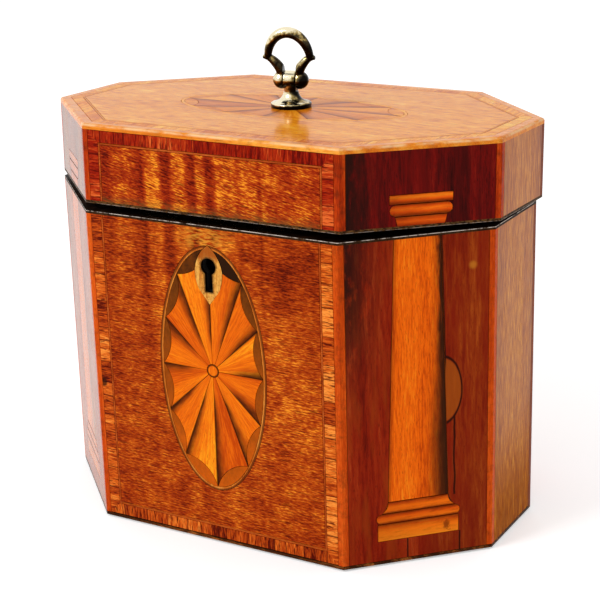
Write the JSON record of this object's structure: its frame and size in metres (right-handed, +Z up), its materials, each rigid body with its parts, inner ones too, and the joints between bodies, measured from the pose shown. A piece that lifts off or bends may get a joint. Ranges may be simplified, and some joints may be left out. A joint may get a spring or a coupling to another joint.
{
  "type": "tea caddy",
  "caption": "Octagonal veneered tea caddy with an inlaid oval fan, corner columns, a hinged lid with a brass bail handle, a lock behind a lozenge escutcheon and a loose inner cover.",
  "frame": {"origin": "middle of the underside of the case, on the surface it stands on", "axes": "+X to the right along the front, +Y from the front to the back, +Z up"},
  "size_m": [0.1456, 0.0975, 0.1439],
  "materials": {
    "carcase_wood": "plain sawn mahogany",
    "baize": "felted wool",
    "boxwood": "polished boxwood line",
    "field_veneer": "french polished figured veneer",
    "crossbanding": "french polished, grain across",
    "fan_satinwood": "sand-shaded and polished",
    "fan_ground": "dark stained, polished",
    "bone": "polished bone",
    "corner_ground": "french polished dark veneer",
    "column_wood": "sand-shaded and polished",
    "plain_veneer": "french polished straight grain",
    "lipping": "ebonised",
    "lining_wood": "thin plain boards",
    "foil": "dull tin foil",
    "lid_paper": "aged lining paper",
    "brass": "aged brass",
    "handle_brass": "dark patinated brass, rubbed bright",
    "spring_steel": "blued spring"
  },
  "bodies": {
    "case": {"base_baize": "baize", "base_line": "boxwood", "bottom_board": "carcase_wood", "carcase_back": "carcase_wood", "carcase_corners": "carcase_wood", "carcase_ends": "carcase_wood", "carcase_front": "carcase_wood", "case_lipping": "lipping", "case_screws": "brass", "column_bases": "column_wood", "column_shafts": "column_wood", "corner_ground_veneers": "corner_ground", "corner_lines": "boxwood", "end_and_back_veneers": "plain_veneer", "foil_lining": "foil", "front_crossbanding": "crossbanding", "front_fan_boss": "fan_satinwood", "front_fan_grounds": "fan_ground", "front_fan_petals": "fan_satinwood", "front_fan_ring": "boxwood", "front_field_veneer": "field_veneer", "front_stringing": "boxwood", "hinge_case_leaves": "brass", "hinge_pins": "brass", "keyhole_escutcheon": "bone", "lining_boards": "lining_wood", "lock_cap": "brass", "lock_case": "brass", "lock_pin": "brass", "lock_selvedge": "brass", "lock_spring": "spring_steel"},
    "lid": {"column_capitals": "column_wood", "handle_nut_and_washer": "handle_brass", "handle_post": "handle_brass", "hinge_lid_leaves": "brass", "lid_corner_grounds": "corner_ground", "lid_corner_lines": "boxwood", "lid_end_and_back_veneers": "plain_veneer", "lid_fan_grounds": "fan_ground", "lid_fan_petals": "fan_satinwood", "lid_fan_ring": "boxwood", "lid_front_crossbanding": "crossbanding", "lid_front_veneer": "field_veneer", "lid_lipping": "lipping", "lid_paper": "lid_paper", "lid_rim_back": "carcase_wood", "lid_rim_front": "carcase_wood", "lid_rim_sides": "carcase_wood", "lid_screws": "brass", "lid_stringing": "boxwood", "lid_top_board": "carcase_wood", "lid_top_crossbanding": "crossbanding", "lid_top_edging": "boxwood", "lid_top_veneer": "field_veneer", "link_plate": "brass"},
    "bail": {"handle_bail": "handle_brass", "handle_pin": "handle_brass"},
    "bolt": {"lock_bolt": "brass"},
    "tea_cover": {"tea_cover_board": "plain_veneer", "tea_cover_knob": "bone"}
  },
  "joints": [
    {"name": "lid_hinge", "type": "hinge", "parent": "case", "child": "lid", "pos_m": [0, 0.0489, 0.09615], "axis": [-1, 0, 0], "range_deg": [-1.4, 98.6]},
    {"name": "bail_swing", "type": "hinge", "parent": "lid", "child": "bail", "pos_m": [0.001, 0.00077, 0.12809], "axis": [0.9703, 0.2418, -0.0059], "range_deg": [-122, 94]},
    {"name": "bolt_throw", "type": "slide", "parent": "case", "child": "bolt", "axis": [1, 0, 0], "range_m": [0, 0.0046]},
    {"name": "cover_lift", "type": "slide", "parent": "case", "child": "tea_cover", "axis": [0, 0, 1], "range_m": [0, 0.012]}
  ]
}
